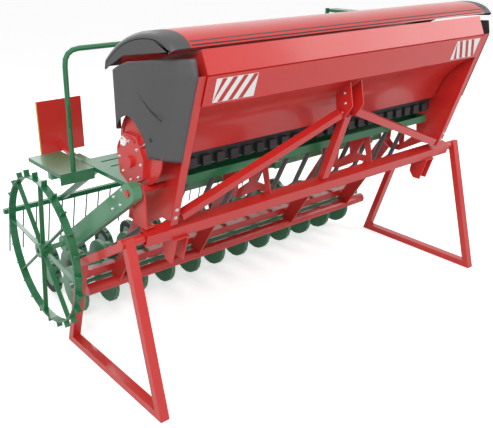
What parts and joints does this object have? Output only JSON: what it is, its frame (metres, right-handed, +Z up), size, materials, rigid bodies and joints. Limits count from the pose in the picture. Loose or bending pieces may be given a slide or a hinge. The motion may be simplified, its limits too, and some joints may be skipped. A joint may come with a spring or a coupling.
{
  "type": "mounted seed drill",
  "caption": "Tractor-mounted seed drill with a lidded hopper, disc coulters, a lugged drive wheel and a rear platform, on red parking stands.",
  "frame": {"origin": "floor level under the middle of the machine's bounding box", "axes": "+X across the working width away from the drive wheel, -Y towards the tractor, +Z up"},
  "size_m": [3.311, 2.7723, 2.198],
  "materials": {
    "red_paint": "gloss",
    "green_paint": "satin",
    "sage_green_paint": "satin",
    "grey_plastic": "satin",
    "black_plastic": "satin"
  },
  "bodies": {
    "frame": {"main_beam": "red_paint", "top_link_head": "red_paint", "aframe_post": "red_paint", "aframe_diagonal_left": "red_paint", "aframe_diagonal_right": "red_paint", "side_plate_left": "red_paint", "side_plate_right": "red_paint", "rib_left": "red_paint", "rib_right": "red_paint", "lower_hitch_left": "red_paint", "lower_hitch_right": "red_paint", "hopper_shell": "red_paint", "end_cover_left": "grey_plastic", "end_cover_right": "grey_plastic", "metering_bank": "black_plastic", "seed_tubes": "grey_plastic", "calibration_tray": "green_paint", "gearbox": "red_paint", "parking_stand_left": "red_paint", "wheel_arm_bracket": "red_paint", "coulter_frame": "red_paint", "coulters_front": "sage_green_paint", "coulters_rear": "sage_green_paint", "platform": "green_paint", "side_step": "green_paint", "platform_beams": "sage_green_paint", "hand_rail": "green_paint", "warning_board": "red_paint"},
    "stand_right": {"parking_stand_right": "red_paint"},
    "wheel_arm": {"wheel_arm": "sage_green_paint"},
    "drive_wheel": {"drive_wheel": "green_paint"},
    "lid": {"hopper_lid": "red_paint", "lid_end_left": "grey_plastic", "lid_end_right": "grey_plastic"},
    "ladder": {"access_ladder": "green_paint"},
    "harrow": {"harrow": "green_paint"}
  },
  "joints": [
    {"name": "lid_hinge", "type": "hinge", "parent": "frame", "child": "lid", "pos_m": [0.055, -1.324, 2.121], "axis": [1, 0, 0], "range_deg": [0, 80]},
    {"name": "wheel_arm_pivot", "type": "hinge", "parent": "frame", "child": "wheel_arm", "pos_m": [-1.42, -0.954, 1.3], "axis": [1, 0, 0], "range_deg": [0, 25]},
    {"name": "drive_wheel_axle", "type": "hinge", "parent": "wheel_arm", "child": "drive_wheel", "pos_m": [-1.619, -0.086, 0.698], "axis": [1, 0, 0], "continuous": true},
    {"name": "ladder_hinge", "type": "hinge", "parent": "frame", "child": "ladder", "pos_m": [1.31, 0.041, 1.06], "axis": [0, 1, 0], "range_deg": [0, 150]},
    {"name": "stand_slide_right", "type": "slide", "parent": "frame", "child": "stand_right", "axis": [1, 0, 0], "range_m": [0, 0.25]},
    {"name": "harrow_hinge", "type": "hinge", "parent": "frame", "child": "harrow", "pos_m": [0.055, 0.421, 1.02], "axis": [1, 0, 0], "range_deg": [0, 30]}
  ]
}
